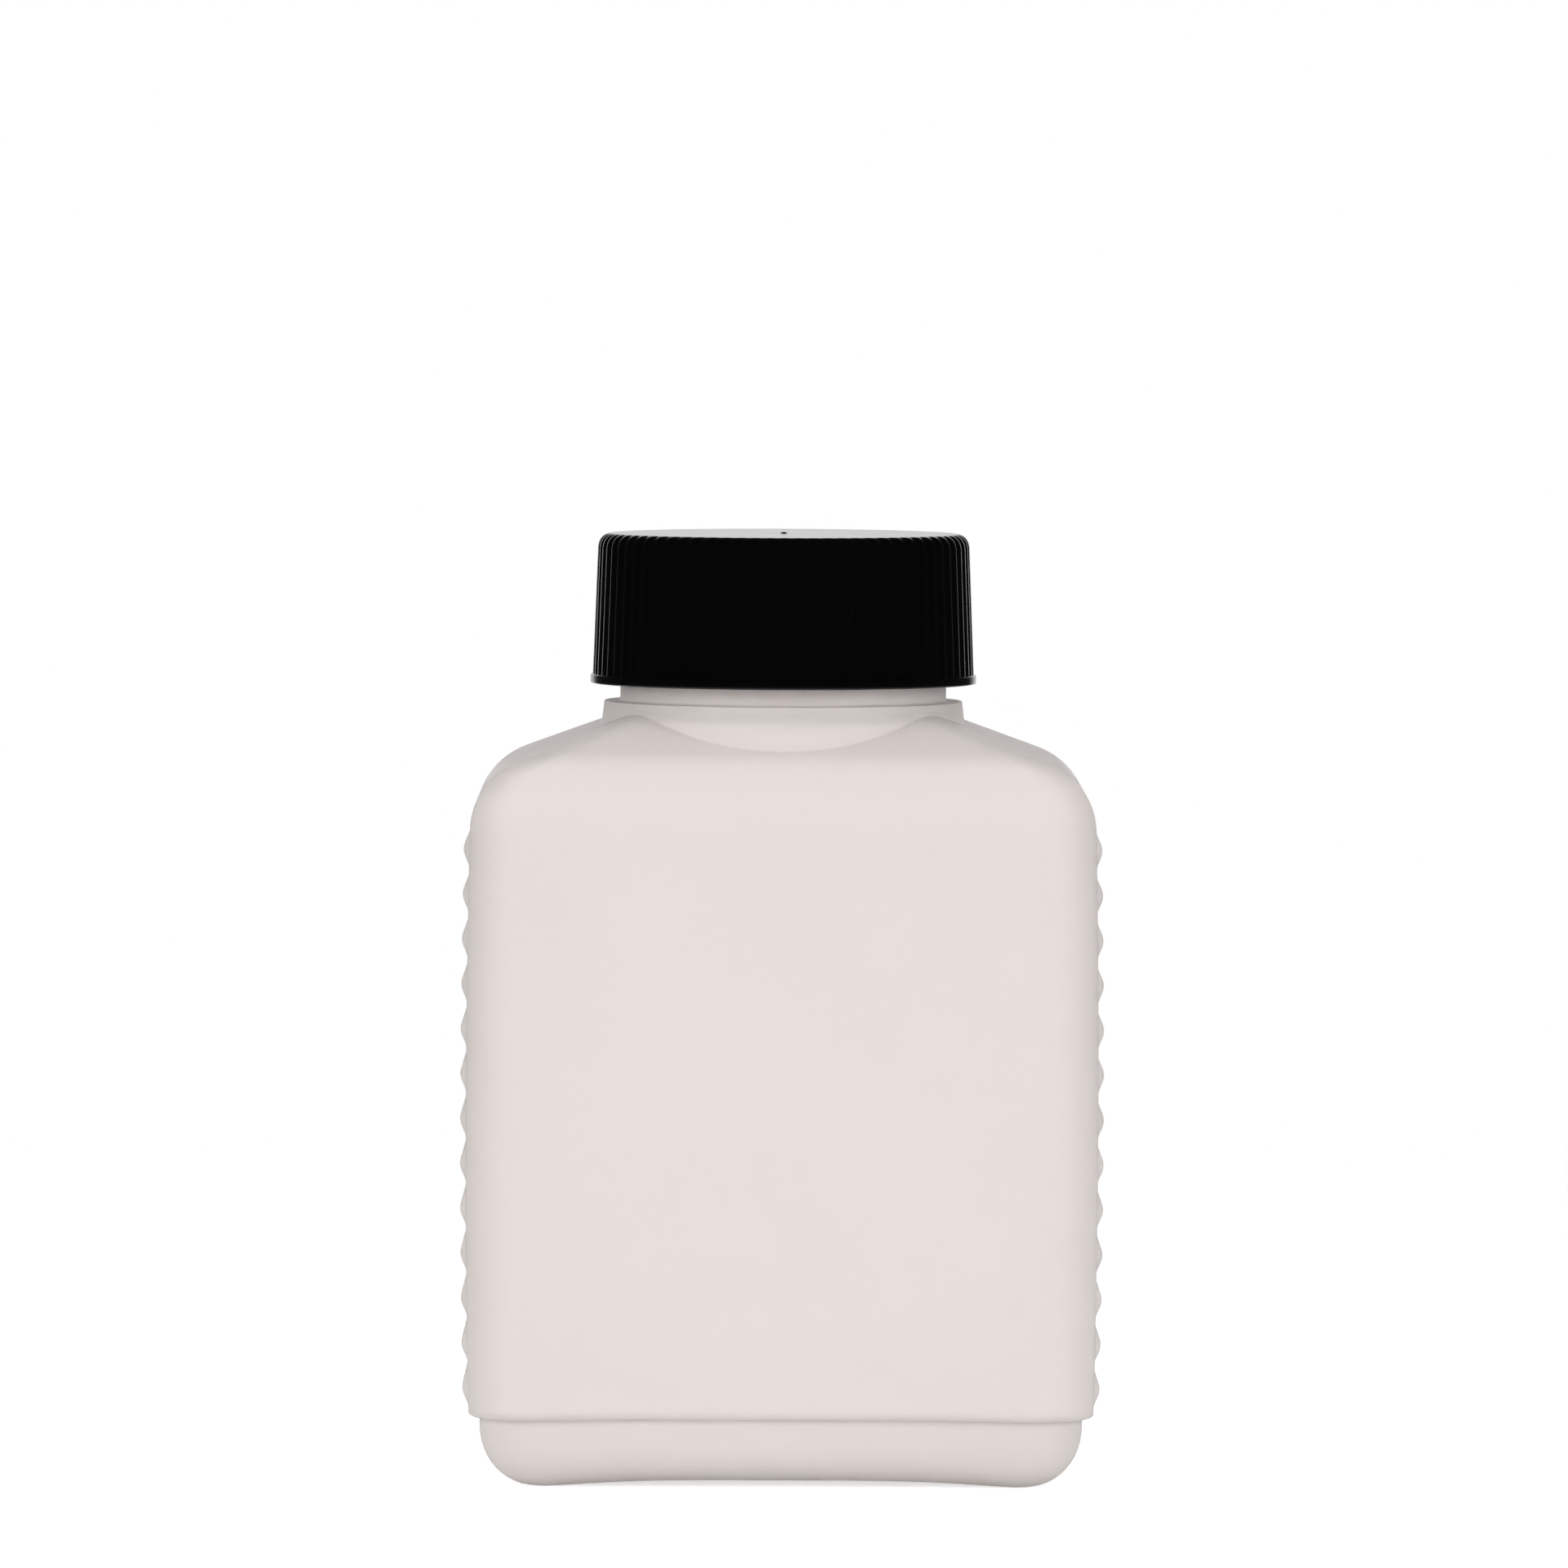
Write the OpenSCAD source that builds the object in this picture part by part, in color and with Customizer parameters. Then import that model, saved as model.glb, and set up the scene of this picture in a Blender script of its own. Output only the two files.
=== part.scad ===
// Rectangular wide-neck bottle, blown in one piece, with a knurled screw cap and its sealing disc.
// Millimetres. The bottle stands on z = 0, its wide front wall faces -Y and its neck rises along +Z.

/* [Body] */
// Width of the body across its narrow side walls, without grip ribs
body_w = 86.7; // [76:0.1:110]
// Depth of the body from front wall to back wall
body_d = 62; // [57:0.1:90]
// Height at which the walls turn in to the shoulder
wall_top = 90.9; // [60:0.1:140]
// Radius of the four upright corners
corner_r = 7.6; // [5:0.1:12]
// How far the narrow side walls belly out at mid-height
belly = 0.45; // [0:0.05:1.5]
// Wall thickness of the blown body
wall = 1.3; // [0.8:0.05:2]

/* [Base] */
// Height of the narrower section that the bottle stands on
base_h = 9.6; // [8.6:0.1:14]
// How far that section is set back from the walls
base_step = 1.55; // [0.5:0.05:3]
// Height of the rounded edge above the set-back
ledge_h = 0.8; // [0.4:0.05:2]
// Width of the rounding under the base edge
base_round_w = 7.6; // [4:0.1:9]
// Height of the rounding under the base edge
base_round_h = 8.5; // [4:0.1:8.5]
// Width of the feet that touch the table at the corners
foot_w = 2.4; // [1:0.1:4]
// How far the base edge arches up between two corners
arch_h = 0.85; // [0:0.05:1.5]
// Height over which that arch dies away up the wall
arch_fade = 7; // [3:0.5:12]
// Rise of the panel in the middle of the underside
push_up = 1.8; // [1:0.1:4]
// Width of the pinch-off line across the underside
pinch_w = 0.8; // [0.5:0.05:2]
// How far that line stands down from its panel
pinch_h = 0.3; // [0.1:0.05:0.8]

/* [Shoulder] */
// Slope of the shoulder roof beside the neck, in degrees
roof_slope = 21; // [14:1:28]
// Slope of the shoulder in front of and behind the neck, in degrees
front_slope = 28; // [22:1:40]
// Width of the rounding from a side wall to the roof
side_round_w = 11.2; // [7:0.1:13]
// Height of the rounding from a side wall to the roof
side_round_h = 10.8; // [7:0.1:14]
// Width of the rounding from the front wall to the shoulder
front_round_w = 7.5; // [5:0.1:9]
// Height of the rounding from the front wall to the shoulder
front_round_h = 11.6; // [7:0.1:14]
// Radius of the ridge where the roof meets the front slope, seen from above
ridge_r = 4; // [2:0.1:5]

/* [Grip ribs] */
// Number of ribs on each narrow side, which share its height evenly
rib_count = 13; // [4:1:15]
// How far the uppermost rib runs up past the top of the wall
rib_over = 0.6; // [0:0.05:1]
// How far a rib stands out of the side wall
rib_out = 0.85; // [0.4:0.01:1.2]
// Depth below the side wall that the wave of the ribs swings to
rib_dip = 0.06; // [0.03:0.01:0.3]
// Radius on which the ribs run out towards the corners
rib_end_r = 6; // [4:0.1:9]

/* [Neck] */
// Outer diameter of the neck
neck_d = 45.6; // [40:0.1:47]
// Wall thickness of the neck and collar
neck_wall = 1.7; // [1.2:0.05:2.5]
// Height of the rim above the collar
neck_h = 20; // [17:0.1:26]
// How far the collar stands out of the neck at its top edge
collar_out = 2.25; // [1.6:0.05:3]
// Height of the collar above the shoulder roof
collar_h = 3.15; // [2:0.05:8]
// How much wider the collar is at the shoulder than at its top edge
collar_draft = 0.35; // [0:0.05:1]

/* [Thread] */
// Rise of the thread in one turn
thread_pitch = 4; // [3:0.1:5]
// Height of the thread above its wall
thread_h = 1.1; // [0.8:0.05:1.3]
// Width of the thread at its crest
thread_crest = 0.9; // [0.6:0.05:1]
// Width of the thread at its root
thread_root = 2; // [1.6:0.05:2.1]
// Number of turns on the neck and in the cap
thread_turns = 1.75; // [1:0.25:2]
// Depth of the upper end of the neck thread below the rim
thread_drop = 2.2; // [1.5:0.1:3]
// Radial clearance between the two threads and the walls they face
thread_gap = 0.35; // [0.25:0.05:0.6]

/* [Cap] */
// Height of the cap
cap_h = 20.95; // [18:0.05:22]
// Thickness of the cap's wall in the grooves of its knurl, just above the flange
cap_wall = 2; // [1.6:0.05:4]
// How much narrower the knurl is at the top than at the flange
cap_taper = 1.45; // [0:0.05:1.6]
// Radius of the rounded top edge
cap_round = 1.8; // [0.8:0.1:2.4]
// Thickness of the cap's top plate
cap_top = 1.8; // [1.2:0.1:3]
// How far the flange round the open end stands out past the knurl
flange_out = 0.35; // [0.1:0.05:2]
// Height of that flange
flange_h = 1.25; // [0.8:0.05:2.5]
// Number of knurl ribs
knurl_count = 78; // [48:1:90]
// Depth of the knurl
knurl_depth = 0.4; // [0.2:0.05:0.5]
// Diameter of the gate mark in the middle of the top
gate_d = 0.9; // [0.5:0.1:2]
// Height of the gate mark
gate_h = 0.2; // [0.1:0.05:0.5]

/* [Sealing disc] */
// Thickness of the disc
liner_t = 1.6; // [1:0.1:2.5]
// Clearance between the disc's edge and the cap's bore
liner_gap = 0.3; // [0.1:0.05:0.6]

/* [Hidden] */
milky = [0.90, 0.87, 0.86, 0.9];
cap_black = [0.06, 0.06, 0.065];
foam_white = [0.95, 0.95, 0.93];
$fn = 96;

corner_steps = 6;      // facets of one upright corner
long_steps = 8;        // stretches of the front and back walls between corners
short_steps = 4;       // stretches of the side walls between corners
round_steps = 7;       // rings of a rounding
rib_steps = 10;        // facets of a grip rib
thread_step = 15;      // degrees between two sections of a thread
thread_taper = 30;     // degrees over which a thread grows to full height
thread_sunk = 0.3;     // how far a thread's root is buried in its wall

half_w = body_w / 2;
half_d = body_d / 2;
ledge_top = base_h + ledge_h;
neck_r = neck_d / 2;
collar_d = neck_d + 2 * collar_out;
collar_r = collar_d / 2 + collar_draft;
collar_chamfer = 0.35;

// A shoulder profile is [half extent, rounding width, rounding height, slope].
side_profile = [half_w, side_round_w, side_round_h, roof_slope];
front_profile = [half_d, front_round_w, front_round_h, front_slope];

function shrunk(p, t) = [p[0] - t, p[1] - t, p[2] - t, p[3]];
// Angle round the elliptic rounding at which its tangent reaches the profile's slope
function tangent_angle(p) = atan(p[2] / (p[1] * tan(p[3])));
function tangent_half(p) = p[0] - p[1] * (1 - cos(tangent_angle(p)));
function tangent_z(p) = wall_top + p[2] * sin(tangent_angle(p));
// Half extent of a shoulder profile at height z
function profile_half(p, z) =
    z <= wall_top ? p[0] :
    z <= tangent_z(p) ? p[0] - p[1] * (1 - sqrt(1 - pow((z - wall_top) / p[2], 2))) :
    tangent_half(p) - (z - tangent_z(p)) / tan(p[3]);
// Height at which a profile's slope has come in to half extent h
function profile_z(p, h) = tangent_z(p) + (tangent_half(p) - h) * tan(p[3]);

roof_z = profile_z(side_profile, collar_r);
collar_top = roof_z + collar_h;
rim_z = collar_top + neck_h;
cap_top_z = rim_z + liner_t + cap_top;
cap_bottom_z = cap_top_z - cap_h;
bore_r = neck_r + thread_h + thread_gap;
cap_d = 2 * (bore_r + cap_wall + knurl_depth);
flange_d = cap_d + 2 * flange_out;

function belly_at(z) =
    let (u = (z - ledge_top) / (wall_top - ledge_top))
    u <= 0 || u >= 1 ? 0 : belly * 4 * u * (1 - u);
// Rise of the base edge at distance d from the middle of a side whose straight part is span long
function arch_at(d, span, z) =
    abs(d) >= span ? 0 : arch_h * pow(1 - pow(d / span, 4), 1.5) * exp(-z / arch_fade);

// Points of a rounded rectangle, counter-clockwise from above, arched up between its corners
function ring(a, b, r, z) = [
    for (k = [0:3])
        let (sx = (k == 0 || k == 3) ? 1 : -1, sy = k < 2 ? 1 : -1,
             steps = k % 2 == 0 ? long_steps : short_steps,
             nx = k == 0 ? -1 : k == 2 ? 1 : sx, ny = k == 1 ? -1 : k == 3 ? 1 : sy)
        each concat(
            [for (j = [0:corner_steps])
                let (t = 90 * k + 90 * j / corner_steps)
                [sx * (a - r) + r * cos(t), sy * (b - r) + r * sin(t), z]],
            [for (j = [1:steps - 1])
                let (u = j / steps,
                     x = sx * (a - r) * (1 - u) + nx * (a - r) * u + (k == 1 ? -r : k == 3 ? r : 0),
                     y = sy * (b - r) * (1 - u) + ny * (b - r) * u + (k == 0 ? r : k == 2 ? -r : 0))
                [x, y, z + (k % 2 == 0 ? arch_at(x, a - r, z) : arch_at(y, b - r, z))]])
];

// A closed skin over a stack of rings, with a fan of facets across its first and last ring
module skin(rings) {
    n = len(rings[0]);
    last = len(rings) - 1;
    low = n * (last + 1);
    points = concat([for (r = rings) each r], [[0, 0, rings[0][0][2]], [0, 0, rings[last][0][2]]]);
    faces = [for (j = [0:n - 1])
        let (k = (j + 1) % n)
        each concat(
            [[low, j, k], [low + 1, last * n + k, last * n + j]],
            [for (i = [0:last - 1]) each [[i * n + j, i * n + j + n, i * n + k + n],
                                          [i * n + j, i * n + k + n, i * n + k]]])];
    polyhedron(points, faces, convexity = 6);
}

// Rings of the body, inset by t from the outer surface
function body_rings(t) =
    let (a = half_w - base_step - t, b = half_d - base_step - t,
         rw = base_round_w - t, rh = base_round_h - t, r = corner_r - t,
         foot_a = a - rw, foot_b = b - rw, foot_r = max(0.8, r - rw + 2),
         side = shrunk(side_profile, t), front = shrunk(front_profile, t),
         top = roof_z - t / cos(roof_slope),
         turn = tangent_angle(side))
    concat(
        [ring(foot_a - foot_w - 2 * push_up, foot_b - foot_w - 2 * push_up, foot_r, t + push_up),
         ring(foot_a - foot_w, foot_b - foot_w, foot_r, t)],
        [for (k = [0:round_steps])
            let (q = 90 * k / round_steps)
            ring(foot_a + rw * sin(q), foot_b + rw * sin(q), foot_r + (r - foot_r) * sin(q),
                 t + rh * (1 - cos(q)))],
        [ring(a, b, r, base_h + t / 2)],
        [for (k = [1:3])
            let (q = 90 * k / 3)
            ring(a + base_step * sin(q), b + base_step * sin(q), r,
                 base_h + t / 2 + ledge_h * (1 - cos(q)))],
        [for (k = [1:5])
            let (z = ledge_top + (wall_top - ledge_top) * k / 6)
            ring(side[0] + belly_at(z), front[0], r, z)],
        [for (k = [0:round_steps + 1])
            let (z = wall_top + side[2] * sin(turn * k / (round_steps + 1)))
            ring(profile_half(side, z), profile_half(front, z), r - (r - ridge_r) * k / (round_steps + 3), z)],
        [for (k = [1:2])
            let (z = tangent_z(side) + (top - tangent_z(side)) * k / 2)
            ring(profile_half(side, z), profile_half(front, z),
                 max(0.8, r - (r - ridge_r) * (round_steps + 1 + k) / (round_steps + 3)), z)]
    );

// Outer edge of the grip ribs at height z, a wave over the bellied side wall
rib_pitch = (wall_top + rib_over - ledge_top) / rib_count;
rib_straight = half_d - corner_r - sqrt(rib_out * (2 * rib_end_r - rib_out));
function rib_edge(z) =
    half_w + belly_at(z) - rib_dip + (rib_out + rib_dip) * (1 - cos(360 * (z - ledge_top) / rib_pitch)) / 2;

// Upright section of one side's ribs above height low, from a little inside the wall outwards, inset by t
// and moved in by dx
module rib_section(low, t, dx) {
    high = wall_top + rib_over;
    steps = round(rib_steps * (high - low) / rib_pitch);
    back = half_w - wall / 2 - t - dx;
    polygon(concat([for (i = [0:steps]) let (z = low + (high - low) * i / steps) [rib_edge(z) - t - dx, z]],
                   [[back, high], [back, low]]));
}

module rib_run(low, t) {
    rotate([90, 0, 0]) linear_extrude(height = 2 * rib_straight, center = true) rib_section(low, t, 0);
}

// Ribs of the right-hand side, which run out where the corners begin
module side_ribs() {
    centre = half_w + rib_out - rib_end_r;
    rib_run(ledge_top, 0);
    for (s = [-1, 1])
        translate([centre, s * rib_straight, 0])
            rotate([0, 0, s < 0 ? -60 : 0])
                rotate_extrude(angle = 60, $fn = 60) rib_section(ledge_top, 0, centre);
}

// One section of a thread: grow is 0 at its run-out and 1 at full height, out is 1 or -1
function thread_section(wall_r, out, z, angle, grow) =
    let (root = wall_r - out * thread_sunk,
         crest = wall_r + out * (thread_h * grow - thread_sunk / 2 * (1 - grow)))
    [for (p = [[root, -thread_root / 2], [crest, -thread_crest / 2],
               [crest, thread_crest / 2], [root, thread_root / 2]])
        [p[0] * cos(angle), p[0] * sin(angle), z + p[1]]];

// A right-hand thread on a wall of radius wall_r, whose lower end is at height z0
module thread(wall_r, out, z0) {
    count = round(360 * thread_turns / thread_step);
    sections = [for (i = [0:count])
        let (angle = 360 * thread_turns * i / count,
             grow = min(1, angle / thread_taper, (360 * thread_turns - angle) / thread_taper))
        thread_section(wall_r, out, z0 + thread_pitch * angle / 360, angle, grow)];
    points = [for (s = sections) each s];
    sides = [for (i = [0:count - 1], j = [0:3])
        let (a = 4 * i + j, b = 4 * i + (j + 1) % 4)
        each out > 0 ? [[a, b, b + 4], [a, b + 4, a + 4]] : [[a, b + 4, b], [a, a + 4, b + 4]]];
    first = out > 0 ? [[3, 2, 1, 0]] : [[0, 1, 2, 3]];
    end = [for (j = [0:3]) 4 * count + j];
    polyhedron(points, concat(sides, first, [out > 0 ? end : [end[3], end[2], end[1], end[0]]]),
               convexity = 8);
}

neck_thread_z = rim_z - thread_drop - thread_pitch * thread_turns;

// Collar and neck as a solid of revolution, reaching down inside the shoulder
module neck_outside() {
    low = profile_z(front_profile, collar_r) - wall;
    rotate_extrude()
        polygon([[0, low], [collar_r, low], [collar_r, roof_z],
                 [collar_d / 2, collar_top - collar_chamfer],
                 [collar_d / 2 - collar_chamfer, collar_top],
                 [neck_r, collar_top], [neck_r, rim_z - collar_chamfer],
                 [neck_r - collar_chamfer, rim_z], [0, rim_z]]);
}

// Way through the neck, wider inside the collar
module neck_inside() {
    low = profile_z(front_profile, collar_r) - 1.5 * wall;
    bore = neck_r - neck_wall;
    inner = collar_d / 2 - neck_wall;
    rotate_extrude()
        polygon([[0, low], [inner, low], [inner, collar_top - neck_wall - (inner - bore) / 2],
                 [bore, collar_top - neck_wall / 2], [bore, rim_z + 1], [0, rim_z + 1]]);
}

// Line across the underside where the mould pinched the tube shut
module pinch_line() {
    half = half_w - base_step - base_round_w - foot_w - 2 * push_up - 2;
    translate([-half, -pinch_w / 2, push_up - pinch_h]) cube([2 * half, pinch_w, pinch_h + wall / 2]);
}

module bottle() {
    color(milky)
    difference() {
        union() {
            skin(body_rings(0));
            side_ribs();
            mirror([1, 0, 0]) side_ribs();
            pinch_line();
            neck_outside();
            thread(neck_r, 1, neck_thread_z);
        }
        skin(body_rings(wall));
        rib_run(ledge_top + rib_pitch, wall);
        mirror([1, 0, 0]) rib_run(ledge_top + rib_pitch, wall);
        neck_inside();
    }
}

// Outline of the knurl from above, deeper than the ribs and wider than the cap
module knurl_outline() {
    step = 360 / knurl_count;
    low = cap_d / 2 - cap_taper / 2 - knurl_depth - 0.2;
    high = cap_d / 2 + 0.2;
    polygon([for (i = [0:knurl_count - 1], p = [[low, -0.4], [high, -0.155], [high, 0.155], [low, 0.4]])
        [p[0] * cos((i + p[1]) * step), p[0] * sin((i + p[1]) * step)]]);
}

// Outer form of the cap above its flange: a slight cone with a rounded top edge
module cap_envelope() {
    top_r = (cap_d - cap_taper) / 2;
    rotate_extrude() union() {
        polygon([[0, cap_bottom_z], [cap_d / 2, cap_bottom_z], [top_r, cap_top_z - cap_round],
                 [top_r - cap_round, cap_top_z - cap_round], [top_r - cap_round, cap_top_z], [0, cap_top_z]]);
        intersection() {
            translate([top_r - cap_round, cap_top_z - cap_round]) circle(r = cap_round);
            translate([top_r - cap_round, cap_top_z - cap_round]) square(cap_round + 1);
        }
    }
}

module cap_flange() {
    edge = 0.2;
    translate([0, 0, cap_bottom_z]) rotate_extrude()
        polygon([[0, 0], [flange_d / 2 - edge, 0], [flange_d / 2, edge], [flange_d / 2, flange_h - edge],
                 [flange_d / 2 - edge, flange_h], [0, flange_h]]);
}

module screw_cap() {
    core_low = cap_d / 2 - knurl_depth;
    color(cap_black)
    union() {
        difference() {
            union() {
                intersection() {
                    cap_envelope();
                    union() {
                        translate([0, 0, cap_bottom_z])
                            cylinder(r1 = core_low, r2 = core_low - cap_taper / 2, h = cap_h + 1);
                        translate([0, 0, cap_bottom_z]) linear_extrude(height = cap_h + 1) knurl_outline();
                    }
                }
                cap_flange();
                cylinder(d = gate_d, h = cap_top_z + gate_h);
            }
            translate([0, 0, -1]) cylinder(r = bore_r, h = cap_top_z - cap_top + 1);
        }
        thread(bore_r, -1, neck_thread_z - thread_pitch / 2);
    }
}

module cap_liner() {
    color(foam_white)
    translate([0, 0, rim_z]) cylinder(r = bore_r - liner_gap, h = liner_t);
}

bottle();
screw_cap();
cap_liner();
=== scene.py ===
"""Looks of a rectangular wide-neck bottle with a knurled screw cap, on a plain pale floor.

Lengths in the classes are millimetres, as on a drawing, and become metres when a mesh, lamp or material
is made. The bottle stands on z = 0, its wide front wall faces -Y and its neck rises along +Z.
"""
import logging
import math
from dataclasses import dataclass, field
from enum import Enum

import bpy
import numpy as np
from mathutils import Matrix, Vector


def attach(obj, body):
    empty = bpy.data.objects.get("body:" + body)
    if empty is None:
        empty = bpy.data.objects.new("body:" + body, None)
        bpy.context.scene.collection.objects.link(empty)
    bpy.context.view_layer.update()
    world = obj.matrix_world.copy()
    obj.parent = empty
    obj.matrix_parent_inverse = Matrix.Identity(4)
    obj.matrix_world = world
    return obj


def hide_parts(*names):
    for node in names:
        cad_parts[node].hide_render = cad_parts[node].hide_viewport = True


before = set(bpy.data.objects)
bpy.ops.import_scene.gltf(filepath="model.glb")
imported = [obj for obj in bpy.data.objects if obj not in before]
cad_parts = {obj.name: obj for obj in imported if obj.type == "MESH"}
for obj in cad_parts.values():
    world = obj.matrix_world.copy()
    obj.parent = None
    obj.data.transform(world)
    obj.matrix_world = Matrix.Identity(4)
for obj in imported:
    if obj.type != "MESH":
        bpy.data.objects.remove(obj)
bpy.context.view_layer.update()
MM = 0.001
WHITE = (1.0, 1.0, 1.0, 1.0)
TINY = 1e-9
LOG = logging.getLogger("bottle")
Values = np.ndarray | float  # An array or one number for all


def smooth(t: np.ndarray) -> np.ndarray:
    """Returns the smooth step 3t^2 - 2t^3 of values clipped to 0..1."""
    t = np.clip(t, 0.0, 1.0)
    return t * t * (3.0 - 2.0 * t)


def unit_steps(count: int, first: bool = True) -> np.ndarray:
    """Returns values from 0 to 1 in count even steps, without the 0 if first is False."""
    return np.linspace(0.0, 1.0, count + 1)[0 if first else 1:]


def quarter_turn(count: int, first: bool = True) -> np.ndarray:
    """Returns angles from 0 to 90 degrees in count even steps, without the 0 if first is False."""
    return unit_steps(count, first) * math.pi / 2


def whole_turn(count: int) -> np.ndarray:
    """Returns the angles of count columns that stand evenly round a circle."""
    return np.arange(count) * math.tau / count


def closed_surface(name: str, first: np.ndarray, rows: np.ndarray, last: np.ndarray) -> bpy.types.Object:
    """Makes a closed mesh from rings of points, with a pole before the first and after the last ring.

    Ring i and column j give the point rows[i, j]; each column joins the next one all the way round.

    Args:
        name: Name of the piece.
        first: Pole that closes the first ring, in millimetres.
        rows: Points, in millimetres, as an array of rings x columns x 3.
        last: Pole that closes the last ring, in millimetres.

    Returns:
        The new object, at the origin.
    """
    rings, columns, _ = rows.shape
    points = np.concatenate([rows.reshape(-1, 3), [first, last]]) * MM
    column = np.arange(columns)
    after = (column + 1) % columns
    ring = np.arange(rings - 1)[:, None] * columns
    above = ring + columns
    quads = np.stack([ring + column, ring + after, above + after, above + column], axis=-1)
    top = (rings - 1) * columns
    low_fan = np.stack([np.full(columns, rings * columns), after, column], axis=-1)
    high_fan = np.stack([np.full(columns, rings * columns + 1), top + column, top + after], axis=-1)
    corners = np.concatenate([quads.ravel(), low_fan.ravel(), high_fan.ravel()])
    sizes = np.concatenate([np.full(quads.size // 4, 4), np.full(2 * columns, 3)])
    starts = np.concatenate([[0], np.cumsum(sizes)[:-1]])
    mesh = bpy.data.meshes.new(name)
    mesh.vertices.add(len(points))
    mesh.vertices.foreach_set("co", points.astype(np.float32).ravel())
    mesh.loops.add(len(corners))
    mesh.loops.foreach_set("vertex_index", corners.astype(np.int32))
    mesh.polygons.add(len(sizes))
    mesh.polygons.foreach_set("loop_start", starts.astype(np.int32))
    mesh.polygons.foreach_set("use_smooth", np.ones(len(sizes), dtype=bool))
    mesh.update(calc_edges=True)
    mesh.validate()
    piece = bpy.data.objects.new(name, mesh)
    bpy.context.scene.collection.objects.link(piece)
    return piece


def revolved(radius: Values, height: Values, angles: np.ndarray) -> np.ndarray:
    """Turns profile points round Z: x = r cos a, y = r sin a, z = h for each angle a.

    Args:
        radius: One radius for all points, one for each point, or an array of points x angles.
        height: Heights, in any of these forms.
        angles: Angles of the columns, in radians.

    Returns:
        Points as an array of profile points x angles x 3.
    """
    radius, height = (v if v.ndim == 2 else v.reshape(-1, 1) for v in map(np.asarray, (radius, height)))
    x, y = radius * np.cos(angles), radius * np.sin(angles)
    return np.stack(np.broadcast_arrays(x, y, height), axis=-1)


class Socket:
    """One output socket, on which arithmetic adds Math nodes."""

    def __init__(self, shader: "Shader", link: bpy.types.NodeSocket) -> None:
        """Wraps link, an output socket of shader's tree."""
        self.shader = shader
        self.link = link

    def _math(self, operation: str, *values: "Socket | float") -> "Socket":
        """Returns operation on values, as a Math node."""
        return self.shader.node("ShaderNodeMath", {"operation": operation}, dict(enumerate(values)))

    def __add__(self, other: "Socket | float") -> "Socket":
        """Returns self + other."""
        return self._math("ADD", self, other)

    def __radd__(self, other: float) -> "Socket":
        """Returns other + self."""
        return self._math("ADD", other, self)

    def __sub__(self, other: "Socket | float") -> "Socket":
        """Returns self - other."""
        return self._math("SUBTRACT", self, other)

    def __rsub__(self, other: float) -> "Socket":
        """Returns other - self."""
        return self._math("SUBTRACT", other, self)

    def __mul__(self, other: "Socket | float") -> "Socket":
        """Returns self * other."""
        return self._math("MULTIPLY", self, other)

    def __rmul__(self, other: float) -> "Socket":
        """Returns other * self."""
        return self._math("MULTIPLY", other, self)


class Shader:
    """A material or world's node tree, built by one method."""

    def __init__(self, tree: bpy.types.NodeTree) -> None:
        """Empties tree and keeps it."""
        tree.nodes.clear()
        self.tree = tree

    def node(self, kind: str, settings: dict | None = None, inputs: dict | None = None,
             output: str | int = 0) -> Socket | None:
        """Adds a node.

        Args:
            kind: The node's type.
            settings: Attributes of the node, which are set first.
            inputs: Values or Sockets by input name or index.
            output: Name or index of the output that is returned.

        Returns:
            That output, or None where the node has no outputs.
        """
        node = self.tree.nodes.new(kind)
        for key, value in (settings or {}).items():
            setattr(node, key, value)
        for key, value in (inputs or {}).items():
            if isinstance(value, Socket):
                self.tree.links.new(value.link, node.inputs[key])
            else:
                node.inputs[key].default_value = value
        return Socket(self, node.outputs[output]) if node.outputs else None

    def noise(self, scale: float, detail: float) -> Socket:
        """Adds a noise on Object coordinates.

        Args:
            scale: Features to a metre.
            detail: How many finer layers are added to the first.

        Returns:
            The noise, from 0 to 1.
        """
        place = self.node("ShaderNodeTexCoord", output="Object")
        inputs = {"Vector": place, "Scale": scale, "Detail": detail}
        return self.node("ShaderNodeTexNoise", {}, inputs, "Fac")

    def mixed_colour(self, share: Socket, low: tuple, high: tuple) -> Socket:
        """Returns the colour low where share is 0 and high where it is 1."""
        inputs = {0: share, 6: (*low, 1.0), 7: (*high, 1.0)}  # A Mix node's colours are inputs 6 and 7
        return self.node("ShaderNodeMix", {"data_type": "RGBA"}, inputs, 2)  # Output 2 is their mix

    def smooth_range(self, value: Socket, low: float, high: float, first: float, last: float) -> Socket:
        """Returns first + (last - first) s, with s the smooth step of (value - low) / (high - low)."""
        inputs = {"Value": value, "From Min": low, "From Max": high, "To Min": first, "To Max": last}
        return self.node("ShaderNodeMapRange", {"interpolation_type": "SMOOTHSTEP"}, inputs, "Result")

    def rays(self) -> list[Socket]:
        """Returns three sockets that are 1 for camera rays, rays through a body and mirrored rays."""
        return [self.node("ShaderNodeLightPath", output=f"Is {kind} Ray")
                for kind in ("Camera", "Transmission", "Glossy")]


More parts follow.
